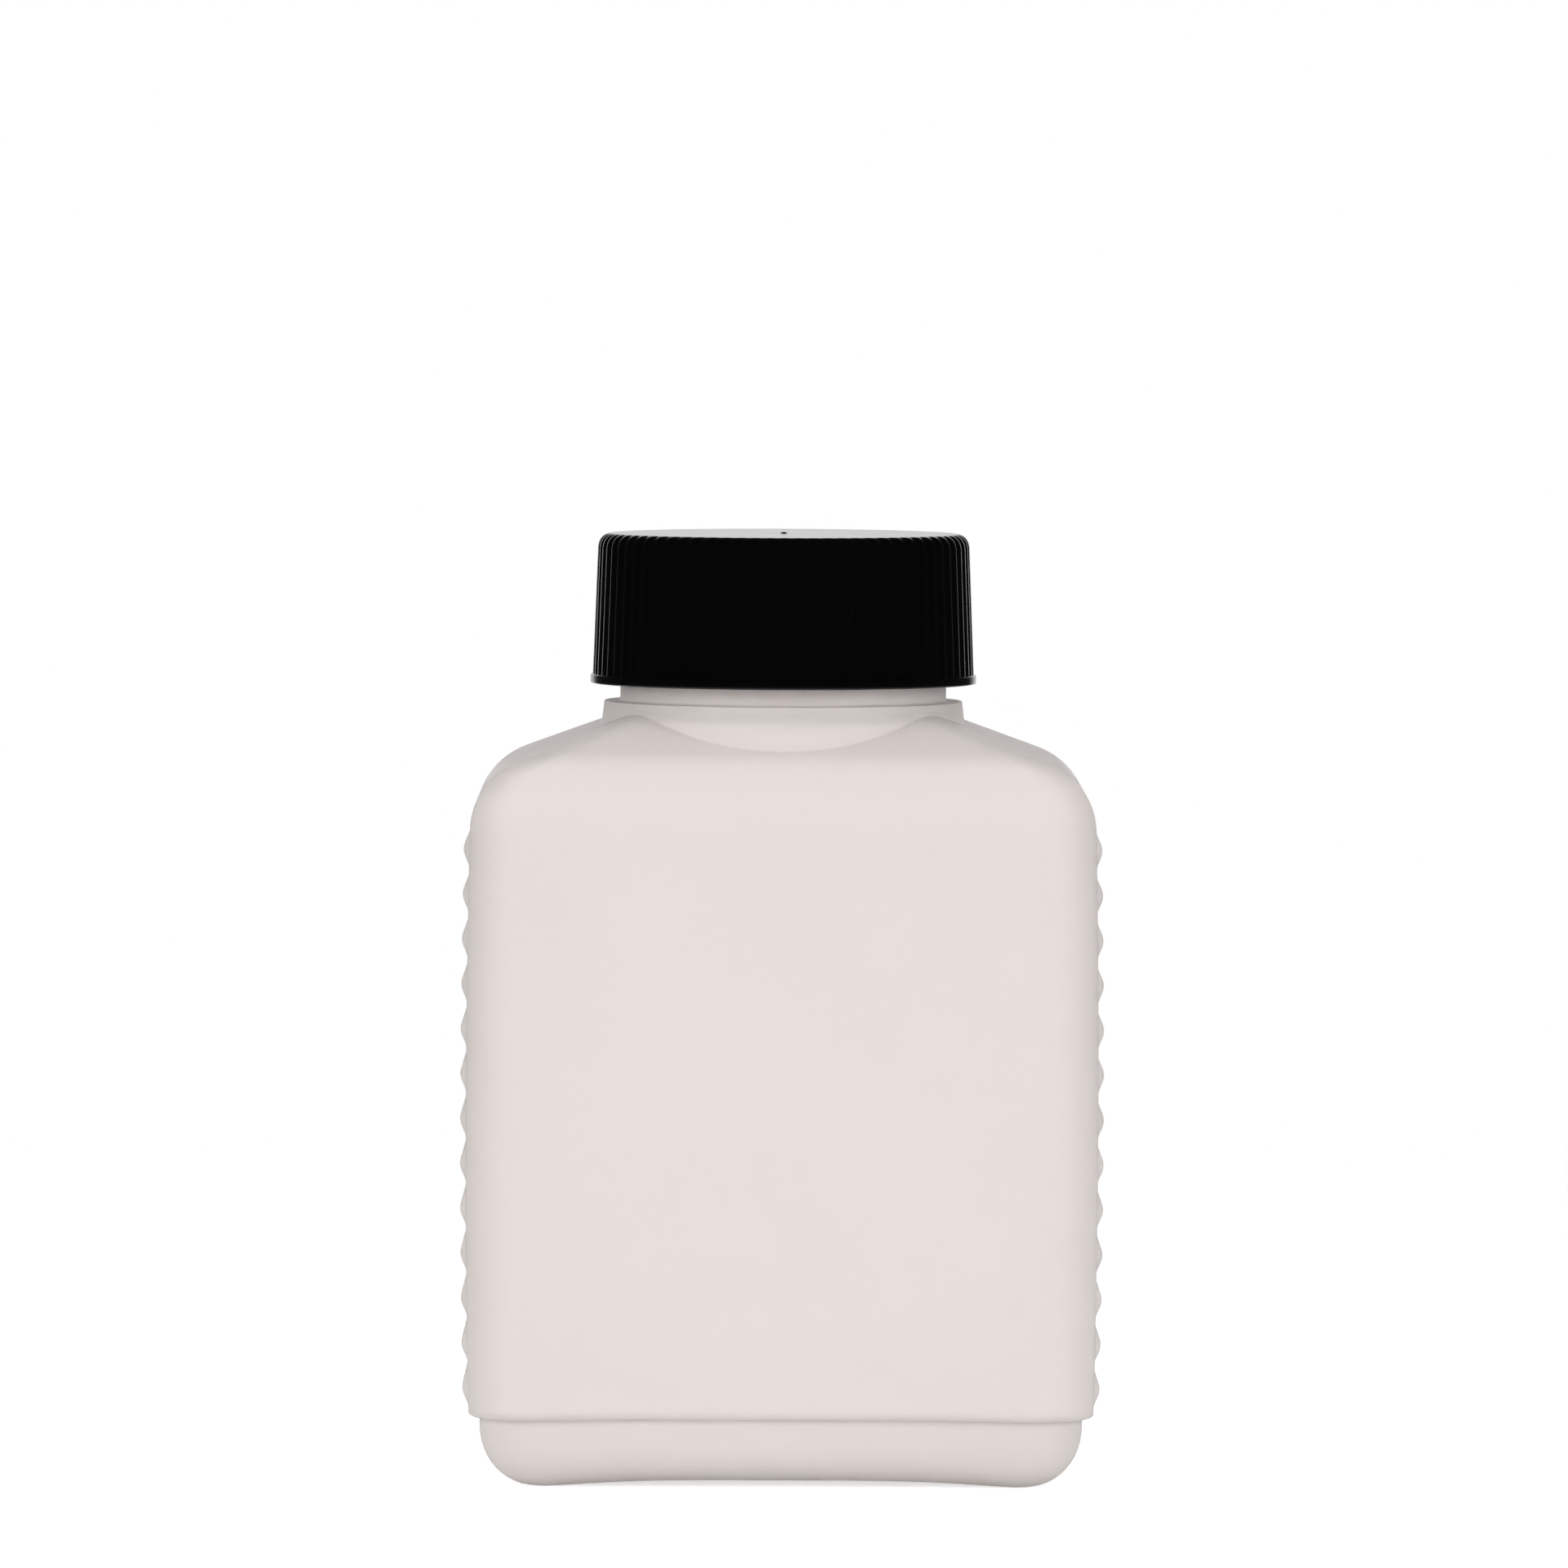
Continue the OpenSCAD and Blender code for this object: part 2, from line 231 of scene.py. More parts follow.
@dataclass(frozen=True)
class MouldedPlastic:
    """A moulded plastic: its colours, gloss, how far light goes through it and its moulding texture.

    A slow sway and a fine grain, with so many features to a metre and heights in millimetres, make the
    texture. The sway's noise also drifts the colour and, at a finer scale, the gloss.
    """

    name: str
    colour: tuple[float, float, float]
    colour_far: tuple[float, float, float]
    roughness: float
    roughness_change: float = 0.06
    ior: float = 1.5
    specular: float = 0.5
    transmission: float = 0.0
    sway_scale: float = 60.0
    grain_scale: float = 2600.0
    gloss_scale: float = 2.5
    sway_height: float = 0.0
    grain_height: float = 0.0

    def material(self) -> bpy.types.Material:
        """Builds the material.

        Returns:
            The material, with a cloudy colour, an uneven gloss and a bump of sway and grain.
        """
        made = bpy.data.materials.new(self.name)
        made.use_nodes = True
        shader = Shader(made.node_tree)
        cloud = shader.noise(self.sway_scale, detail=3.0)
        colour = shader.mixed_colour(cloud, self.colour, self.colour_far)
        drift = shader.noise(self.sway_scale * self.gloss_scale, detail=2.0)
        gloss = self.roughness - self.roughness_change / 2 + self.roughness_change * drift
        sway = shader.noise(self.sway_scale, detail=1.0) * (self.sway_height * MM)
        grain = shader.noise(self.grain_scale, detail=2.0) * (self.grain_height * MM)
        bump = shader.node("ShaderNodeBump", {}, {"Height": sway + grain, "Distance": 1.0})
        surface = shader.node("ShaderNodeBsdfPrincipled", {}, {
            "Base Color": colour, "Roughness": gloss, "IOR": self.ior,
            "Specular IOR Level": self.specular, "Transmission Weight": self.transmission,
            "Normal": bump})
        shader.node("ShaderNodeOutputMaterial", {}, {"Surface": surface})
        return made


MILKY = MouldedPlastic("milky_plastic", (0.90, 0.858, 0.838), (0.885, 0.838, 0.816), roughness=0.52,
                       transmission=0.5, sway_scale=45.0, sway_height=0.06, grain_height=0.004)
BLACK = MouldedPlastic("black_plastic", (0.0004, 0.0004, 0.0005), (0.0006, 0.0006, 0.0007),
                       roughness=0.16, sway_scale=120.0, grain_height=0.006)
FOAM = MouldedPlastic("white_foam", (0.86, 0.86, 0.84), (0.80, 0.80, 0.78), roughness=0.8,
                      sway_scale=300.0, grain_scale=1800.0, grain_height=0.04)


@dataclass(frozen=True)
class Slope:
    """Profile of the shoulder over one wall: an elliptic rounding that runs on into a straight slope.

    The rounding starts at wall_top, half out from the middle, and follows a quarter ellipse of the
    given width and height. It ends where its tangent rises inwards at the given degrees.
    """

    half: float
    width: float
    height: float
    degrees: float
    wall_top: float

    def inset(self, depth: float) -> "Slope":
        """Returns the profile that lies depth inside this one."""
        return Slope(self.half - depth, self.width - depth, self.height - depth, self.degrees,
                     self.wall_top)

    @property
    def steepness(self) -> float:
        """Rise of the straight slope for each millimetre inwards."""
        return math.tan(math.radians(self.degrees))

    @property
    def turn(self) -> float:
        """Angle round the ellipse at which its tangent has the slope, in radians."""
        return math.atan(self.height / (self.width * self.steepness))

    @property
    def tangent_half(self) -> float:
        """Half extent where the rounding ends."""
        return self.half - self.width * (1.0 - math.cos(self.turn))

    @property
    def tangent_z(self) -> float:
        """Height at which the rounding ends."""
        return self.wall_top + self.height * math.sin(self.turn)

    def half_at(self, z: np.ndarray) -> np.ndarray:
        """Works the profile out: half - width (1 - sqrt(1 - u^2)) with u = (z - wall_top) / height.

        Above tangent_z the straight slope goes on from where the rounding ends.

        Args:
            z: Heights.

        Returns:
            The half extent at each height.
        """
        up = np.clip((z - self.wall_top) / self.height, 0.0, math.sin(self.turn))
        rounding = self.half - self.width * (1.0 - np.sqrt(1.0 - up * up))
        return rounding - np.maximum(z - self.tangent_z, 0.0) / self.steepness

    def height_at(self, half: float) -> float:
        """Returns the height at which the straight slope has come in to half."""
        return self.tangent_z + (self.tangent_half - half) * self.steepness


class Skin(Enum):
    """Which face of the bottle's wall a surface is: its share of the wall's depth."""

    OUTSIDE = 0
    INSIDE = 1


@dataclass
class Thread:
    """A right-hand screw thread that stands out of a wall."""

    pitch: float = 4.0
    height: float = 1.1
    crest: float = 0.9
    root: float = 2.0
    turns: float = 1.75
    run_out: float = math.radians(30.0)

    def rise(self, angles: np.ndarray, z: np.ndarray, start: float) -> np.ndarray:
        """Works out how far the thread stands out of its wall at each angle and height.

        At angle a the crest line lies at start + pitch a / 2pi and at whole pitches above that. Across
        it the height falls from the crest's edge to the root's edge by a smooth step, and it grows
        from 0 over run_out at both ends.

        Args:
            angles: Angles of the columns, in radians.
            z: Heights, one for each ring.
            start: Height of the crest line at angle 0.

        Returns:
            An array of rings x columns.
        """
        found = np.zeros((len(z), len(angles)))
        length = math.tau * self.turns
        for lap in range(math.ceil(self.turns)):
            along = np.mod(angles, math.tau) + math.tau * lap
            grow = smooth(along / self.run_out) * smooth((length - along) / self.run_out)
            away = np.abs(z[:, None] - start - self.pitch * along / math.tau)
            flank = (self.root / 2.0 - away) / ((self.root - self.crest) / 2.0)
            found = np.maximum(found, self.height * grow * smooth(flank))
        return found


@dataclass(frozen=True)
class BottleSteps:
    """How many steps each stretch of the bottle is cut into, and how often a search is halved."""

    corner: int = 14
    long_side: int = 36
    rib_end: int = 9
    rib_middle: int = 10
    panel: int = 3
    panel_edge: int = 5
    base_round: int = 12
    ledge: int = 6
    rib: tuple[int, int] = (12, 8)
    level: int = 16
    drawn_in: int = 16
    fillet: int = 6
    collar: int = 4
    edge: int = 5
    bore: int = 5
    widening: int = 6
    pinch_along: int = 24
    pinch_round: int = 16
    halvings: int = 40


@dataclass
class Bottle:
    """The blown bottle: body with grip ribs, base, shoulder, collar, neck and neck thread.

    A field with two values holds the outside's and the inside's, in the order of Skin.
    """

    # Body
    body_w: float = 86.7
    body_d: float = 62.0
    wall_top: float = 90.9
    corner_r: float = 7.6
    least_r: float = 0.8
    belly: float = 0.45
    wall: float = 1.3
    # Base, with the ledge above it and the pushed-up panel under it
    base_h: float = 9.6
    base_step: float = 1.55
    ledge_h: float = 0.8
    base_round_w: float = 7.6
    base_round_h: float = 8.5
    foot_w: float = 2.4
    foot_r: float = 2.0
    arch_h: float = 0.85
    arch_fade: float = 7.0
    push_up: float = 1.8
    pinch_w: float = 0.8
    pinch_h: float = 0.3
    pinch_margin: float = 2.0
    # Shoulder
    roof_slope: float = 21.0
    front_slope: float = 28.0
    side_round_w: float = 11.2
    side_round_h: float = 10.8
    front_round_w: float = 7.5
    front_round_h: float = 11.6
    ridge_r: float = 4.0
    level_drop: tuple[float, float] = (4.6, 6.5)
    search_below: float = 1.0
    search_above: float = 20.0
    # Grip ribs
    rib_count: int = 13
    rib_over: float = 0.6
    rib_out: float = 0.85
    rib_dip: float = 0.06
    rib_end_r: float = 6.0
    rib_margin: float = 0.1
    # Collar, neck and thread
    neck_d: float = 45.6
    neck_wall: float = 1.7
    neck_h: float = 20.0
    neck_margin: float = 1.0
    collar_d: float = 50.1
    collar_h: float = 3.15
    collar_draft: float = 0.35
    edge: float = 0.35
    fillet: float = 0.2
    lip: float = 0.15
    thread_drop: float = 2.2
    thread_step: float = 0.26
    thread: Thread = field(default_factory=Thread)
    steps: BottleSteps = BottleSteps()

    def __post_init__(self) -> None:
        """Works out the profiles, the heights and the columns that all rings share."""
        self.side = Slope(self.body_w / 2, self.side_round_w, self.side_round_h, self.roof_slope,
                          self.wall_top)
        self.front = Slope(self.body_d / 2, self.front_round_w, self.front_round_h, self.front_slope,
                           self.wall_top)
        self.collar_r = self.collar_d / 2 + self.collar_draft
        self.roof_z = self.side.height_at(self.collar_r)
        self.collar_top = self.roof_z + self.collar_h
        self.rim_z = self.collar_top + self.neck_h
        self.thread_z = self.rim_z - self.thread_drop - self.thread.pitch * self.thread.turns
        self.ledge_top = self.base_h + self.ledge_h
        self.rib_pitch = (self.wall_top + self.rib_over - self.ledge_top) / self.rib_count
        self.rib_straight = self.body_d / 2 - self.corner_r - math.sqrt(
            self.rib_out * (2.0 * self.rib_end_r - self.rib_out))
        self._columns()

    def _columns(self) -> None:
        """Sets along, out and angles, one row for each column of points.

        With half extents a and corner radius r, a ring's points are (a - r) along + r out. On a corner,
        along is the corner's signs and out is a unit vector that turns by 90 degrees. On a straight
        stretch, out stays and along goes from one corner's signs to the next. The side walls' columns
        stand closer where the grip ribs run out. Angles are the columns' directions from the axis.
        """
        along, out = [], []
        run_out = (1.0 - self.rib_straight / (self.body_d / 2 - self.corner_r)) / 2
        ends = unit_steps(self.steps.rib_end) * run_out
        middle = np.linspace(ends[-1], 1.0 - ends[-1], self.steps.rib_middle + 1)[1:-1]
        shares = [unit_steps(self.steps.long_side), np.concatenate([ends, middle, 1.0 - ends[::-1]])]
        signs = np.array([[1.0, 1.0], [-1.0, 1.0], [-1.0, -1.0], [1.0, -1.0]])
        for k, corner in enumerate(signs):
            turn = np.radians(90.0 * k + 90.0 * unit_steps(self.steps.corner))
            along.append(np.repeat(corner[None], len(turn), axis=0))
            out.append(np.stack([np.cos(turn), np.sin(turn)], axis=-1))
            share = shares[k % 2][1:-1, None]
            along.append(corner * (1.0 - share) + signs[(k + 1) % 4] * share)
            out.append(np.repeat(out[-1][-1][None], len(share), axis=0))
        self.along, self.out = np.concatenate(along), np.concatenate(out)
        straight = np.array([self.body_w, self.body_d]) / 2 - self.corner_r
        spread = self.along * straight + self.corner_r * self.out
        self.angles = np.arctan2(spread[:, 1], spread[:, 0])

    def arch(self, z: np.ndarray) -> np.ndarray:
        """Works out how far the base edge arches up: arch_h (1 - d^4)^1.5 exp(-z / arch_fade).

        Args:
            z: Heights, one for each ring.

        Returns:
            The rise of each ring's points, where d goes from -1 to 1 between two corners.
        """
        straight = np.abs(self.out).max(axis=1) > 1.0 - TINY
        across, free = np.abs(self.out[:, 0]) > 0.5, np.abs(self.along)
        free = np.where(across, free[:, 1], free[:, 0])
        share = np.where(straight, np.clip(1.0 - free ** 4, 0.0, 1.0) ** 1.5, 0.0)
        return self.arch_h * share * np.exp(-z / self.arch_fade)[:, None]

    def rings(self, half_x: Values, half_y: Values, radius: Values, z: Values,
              bow: Values = 1.0) -> np.ndarray:
        """Makes rounded rectangles: (half - radius) along + radius out in plan, at z + bow arch(z).

        Args:
            half_x: Half extents along X.
            half_y: Half extents along Y.
            radius: Corner radii.
            z: Heights.
            bow: Shares of the base edge's arch.

        Returns:
            Points as an array of rings x columns x 3.
        """
        half_x, half_y, radius, z, bow = np.broadcast_arrays(
            *map(np.atleast_1d, (half_x, half_y, radius, z, bow)))
        half, radius = np.stack([half_x, half_y], axis=-1)[:, None, :], radius[:, None, None]
        flat = (half - radius) * self.along + radius * self.out
        height = z[:, None] + bow[:, None] * self.arch(z)
        return np.concatenate([flat, height[..., None]], axis=-1)

    def belly_at(self, z: np.ndarray) -> np.ndarray:
        """Returns how far the side walls stand out at height z: 4 belly u (1 - u) between their ends."""
        share = np.clip((z - self.ledge_top) / (self.wall_top - self.ledge_top), 0.0, 1.0)
        return self.belly * 4.0 * share * (1.0 - share)

    def ribbed(self, points: np.ndarray) -> np.ndarray:
        """Pushes the side walls of rings of points out into grip ribs.

        At height z over the ledge a rib stands s = (out + dip) (1 - cos(2 pi z / pitch)) / 2 - dip out
        of the wall. At d past the straight part it stands sqrt((q + s)^2 - d^2) - q out, with
        q = end radius - out, so that it runs out where the corner begins.

        Args:
            points: Points as an array of rings x columns x 3.

        Returns:
            The moved points.
        """
        z = points[..., 2] - self.ledge_top
        swing = (self.rib_out + self.rib_dip) * (0.5 - 0.5 * np.cos(math.tau * z / self.rib_pitch))
        rise = np.where((z > 0.0) & (z < self.rib_pitch * self.rib_count), swing - self.rib_dip, 0.0)
        past = np.maximum(np.abs(points[..., 1]) - self.rib_straight, 0.0)
        start = self.rib_end_r - self.rib_out
        push = np.sqrt(np.maximum((start + rise) ** 2 - past ** 2, 0.0)) - start
        push = np.where(np.abs(self.out[:, 0]) > 1.0 - TINY, np.maximum(push, 0.0), 0.0)
        flat = points[..., :2] + self.out * push[..., None]
        return np.concatenate([flat, points[..., 2:]], axis=-1)

    def shoulder_height(self, flat: np.ndarray, inset: float) -> np.ndarray:
        """Works out the shoulder's height over points in plan, by halving the range of heights.

        The shoulder at height z is a rounded rectangle, and a point lies on it where its signed
        distance from that rectangle is zero. The search starts with the heights from search_below
        under the wall's top to search_above over the roof.

        Args:
            flat: Points in plan, as an array with x and y on its last axis.
            inset: How deep the surface lies inside the outer face.

        Returns:
            The height over each point.
        """
        side, front = self.side.inset(inset), self.front.inset(inset)
        low = np.full(flat.shape[:-1], self.wall_top - self.search_below)
        high = np.full(flat.shape[:-1], self.roof_z + self.search_above)
        for _ in range(self.steps.halvings):
            middle = (low + high) / 2.0
            radius = self.corner_radius(middle, inset)
            past = np.abs(flat) - np.stack([side.half_at(middle), front.half_at(middle)], axis=-1)
            past = past + radius[..., None]
            outer = np.linalg.norm(np.maximum(past, 0.0), axis=-1)
            away = outer + np.minimum(past.max(axis=-1), 0.0) - radius
            low, high = np.where(away < 0.0, middle, low), np.where(away < 0.0, high, middle)
        return (low + high) / 2.0

    def corner_radius(self, z: np.ndarray, inset: float) -> np.ndarray:
        """Works out the corner radius of the shoulder, which goes evenly from corner_r to ridge_r.

        Args:
            z: Heights.
            inset: How deep the surface lies inside the outer face.

        Returns:
            The radius at each height.
        """
        share = np.clip((z - self.wall_top) / (self.roof_z - self.wall_top), 0.0, 1.0)
        full = self.corner_r - inset
        return np.maximum(full - (full - self.ridge_r) * share, self.least_r)

    def inset(self, skin: Skin) -> float:
        """Returns how deep the skin lies inside the outer face."""
        return self.wall * skin.value

    def base_rows(self, skin: Skin) -> list[np.ndarray]:
        """Makes the underside and the base, from the middle outwards and up.

        A flat panel, pushed up, falls by a smooth step to the foot. From there a quarter ellipse
        leads up to the base's side, and another one out under the ledge.

        Args:
            skin: Which face of the wall to make.

        Returns:
            The rings.
        """
        inset = self.inset(skin)
        half = np.array([self.body_w, self.body_d]) / 2 - self.base_step - inset
        width, height = self.base_round_w - inset, self.base_round_h - inset
        radius = self.corner_r - inset
        foot = half - width
        panel = foot - self.foot_w - 2.0 * self.push_up
        grow = unit_steps(self.steps.panel, first=False)
        rows = [self.rings(panel[0] * grow, panel[1] * grow, self.foot_r * grow,
                           inset + self.push_up, bow=0.0)]
        fall = smooth(unit_steps(self.steps.panel_edge, first=False))
        slide = unit_steps(self.steps.panel_edge, first=False) * 2.0 * self.push_up
        rows.append(self.rings(panel[0] + slide, panel[1] + slide, self.foot_r,
                               inset + self.push_up * (1.0 - fall), fall))
        rows.append(self.rings(foot[0], foot[1], self.foot_r, inset))
        turn = quarter_turn(self.steps.base_round, first=False)
        rows.append(self.rings(foot[0] + width * np.sin(turn), foot[1] + width * np.sin(turn),
                               self.foot_r + (radius - self.foot_r) * np.sin(turn),
                               inset + height * (1.0 - np.cos(turn))))
        side_top = self.base_h + inset / 2
        rows.append(self.rings(half[0], half[1], radius, side_top))
        turn = quarter_turn(self.steps.ledge, first=False)
        step = self.base_step * np.sin(turn)
        rows.append(self.rings(half[0] + step, half[1] + step, radius,
                               side_top + self.ledge_h * (1.0 - np.cos(turn))))
        return rows

    def wall_rows(self, skin: Skin) -> list[np.ndarray]:
        """Makes the ribbed upright walls, of which the outer skin has more rings to a rib.

        Args:
            skin: Which face of the wall to make.

        Returns:
            The rings.
        """
        inset = self.inset(skin)
        steps = self.steps.rib[skin.value] * self.rib_count
        ribs = self.ledge_top + self.rib_pitch * self.rib_count * unit_steps(steps)
        ribs = ribs[(ribs > self.ledge_top + inset / 2 + self.rib_margin) & (ribs < self.wall_top)]
        half_x = self.body_w / 2 + self.belly_at(ribs) - inset
        return [self.ribbed(self.rings(half_x, self.body_d / 2 - inset, self.corner_r - inset, ribs))]

    def shoulder_rows(self, skin: Skin) -> list[np.ndarray]:
        """Makes the shoulder, from the wall's top in to a round hole that a fillet leads up into.

        The rings lie level up to a little under the roof, and are drawn in radially from there.

        Args:
            skin: Which face of the wall to make.

        Returns:
            The rings, of which the last runs up the fillet.
        """
        inset = self.inset(skin)
        hole = self.collar_r if skin is Skin.OUTSIDE else self.collar_d / 2 - self.neck_wall
        top = self.roof_z - self.level_drop[skin.value]
        side, front = self.side.inset(inset), self.front.inset(inset)
        z = self.wall_top + (top - self.wall_top) * np.sin(quarter_turn(self.steps.level))
        level = self.rings(side.half_at(z), front.half_at(z), self.corner_radius(z, inset), z)
        rows = [self.ribbed(level)]
        spokes = np.stack([np.cos(self.angles), np.sin(self.angles)], axis=-1)
        share = unit_steps(self.steps.drawn_in, first=False)[:, None, None]
        flat = rows[0][-1, :, :2] * (1.0 - share) + (hole + self.fillet) * spokes * share
        rows.append(np.concatenate([flat, self.shoulder_height(flat, inset)[..., None]], axis=-1))
        turn = quarter_turn(self.steps.fillet, first=False)[:, None, None]
        flat = (hole + self.fillet * (1.0 - np.sin(turn))) * spokes
        lift = self.fillet * (1.0 - np.cos(turn))
        rows.append(np.concatenate([flat, self.shoulder_height(flat, inset)[..., None] + lift], axis=-1))
        return rows

    def neck_rows(self, start: np.ndarray) -> list[np.ndarray]:
        """Makes the drafted collar, its rounded lip and shelf, the threaded neck and its rounded rim.

        Args:
            start: Points of the last shoulder ring, from whose heights the collar rises.

        Returns:
            The rings, from the collar's foot over the rim to the bore's top.
        """
        foot = start[:, 2]
        share = unit_steps(self.steps.collar, first=False)[:, None]
        shelf = self.collar_top - self.lip
        rise = foot + (shelf - foot) * share
        drop = np.clip((rise - self.roof_z) / (shelf - self.roof_z), 0.0, 1.0)
        rows = [revolved(self.collar_r - self.collar_draft * drop, rise, self.angles)]
        turn = quarter_turn(self.steps.edge, first=False)
        rows.append(revolved(self.collar_d / 2 - self.lip * (1.0 - np.cos(turn)),
                             shelf + self.lip * np.sin(turn), self.angles))
        neck = self.neck_d / 2
        rows.append(revolved(neck + self.edge * (1.0 - np.sin(turn)),
                             self.collar_top + self.edge * (1.0 - np.cos(turn)), self.angles))
        z = np.arange(self.collar_top + self.neck_margin, self.rim_z - self.edge, self.thread_step)
        rows.append(revolved(neck + self.thread.rise(self.angles, z, self.thread_z), z, self.angles))
        rows.append(revolved(neck - self.edge * (1.0 - np.cos(turn)),
                             self.rim_z - self.edge + self.edge * np.sin(turn), self.angles))
        bore = neck - self.neck_wall
        rows.append(revolved(bore + self.edge * (1.0 - np.sin(turn)),
                             self.rim_z - self.edge * (1.0 - np.cos(turn)), self.angles))
        return rows

    def bore_rows(self, end: np.ndarray) -> list[np.ndarray]:
        """Makes the inside of the neck and collar: bore, smooth step out, and collar's inside.

        Args:
            end: Points of the last ring inside the shoulder, at whose heights the collar's inside ends.

        Returns:
            The rings, from the bore's top down.
        """
        bore = self.neck_d / 2 - self.neck_wall
        inner = self.collar_d / 2 - self.neck_wall
        z = np.linspace(self.rim_z - self.neck_margin, self.collar_top - self.neck_wall / 2,
                        self.steps.bore + 1)
        rows = [revolved(bore, z, self.angles)]
        share = unit_steps(self.steps.widening, first=False)
        low = self.collar_top - self.neck_wall - (inner - bore) / 2
        rows.append(revolved(bore + (inner - bore) * smooth(share), z[-1] + (low - z[-1]) * share,
                             self.angles))
        share = unit_steps(self.steps.collar, first=False)[:, None]
        rows.append(revolved(inner, low + (end[:, 2] - low) * share, self.angles))
        return rows

    def pinch_line(self) -> bpy.types.Object:
        """Makes the line that the mould's pinch leaves across the underside.

        Its section is an ellipse that is half sunk into the panel. At x it is scaled by
        sqrt(1 - (x / half)^16), so that it ends round.

        Returns:
            The line.
        """
        foot = self.body_w / 2 - self.base_step - self.base_round_w
        half = foot - self.foot_w - 2.0 * self.push_up - self.pinch_margin
        along = -np.cos(unit_steps(self.steps.pinch_along) * math.pi)[1:-1, None]
        taper = np.sqrt(1.0 - along ** 16)
        turn = whole_turn(self.steps.pinch_round)
        rows = np.stack(np.broadcast_arrays(
            half * along, self.pinch_w / 2 * taper * np.cos(turn),
            self.push_up + self.pinch_h * taper * np.sin(turn)), axis=-1)
        return closed_surface("pinch_off_line", np.array([-half, 0, self.push_up]), rows,
                              np.array([half, 0, self.push_up]))

    def build(self) -> bpy.types.Object:
        """Builds the bottle as one closed surface that goes up its outside and down its inside.

        Returns:
            The bottle.
        """
        outside, inside = ([*self.base_rows(skin), *self.wall_rows(skin), *self.shoulder_rows(skin)]
                           for skin in Skin)
        outside += self.neck_rows(outside[-1][-1])
        bore = self.bore_rows(inside[-1][-1])
        bore[-1] = bore[-1][:-1]  # Its last ring is the shoulder's
        down = np.concatenate(inside)[::-1]
        rows = np.concatenate([*outside, *bore, down])
        piece = closed_surface("blown_bottle", np.array([0, 0, self.push_up]), rows,
                               np.array([0, 0, self.push_up + self.wall]))
        line = self.pinch_line()
        plastic = MILKY.material()
        for made in (piece, line):
            made.data.materials.append(plastic)
            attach(made, "bottle")
        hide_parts("bottle")
        LOG.info("bottle: %d rings of %d points, rim at %.2f mm", len(rows), len(self.angles), self.rim_z)
        return piece


@dataclass(frozen=True)
class ClosureSteps:
    """How many steps each stretch of the cap's and the disc's surfaces is cut into."""

    knurl: int = 8
    plate: int = 4
    flange: int = 3
    skirt: int = 11
    top_round: int = 10
    top: int = 5
    gate: int = 4
    liner: int = 5
    liner_edge: int = 4
    liner_round: int = 96


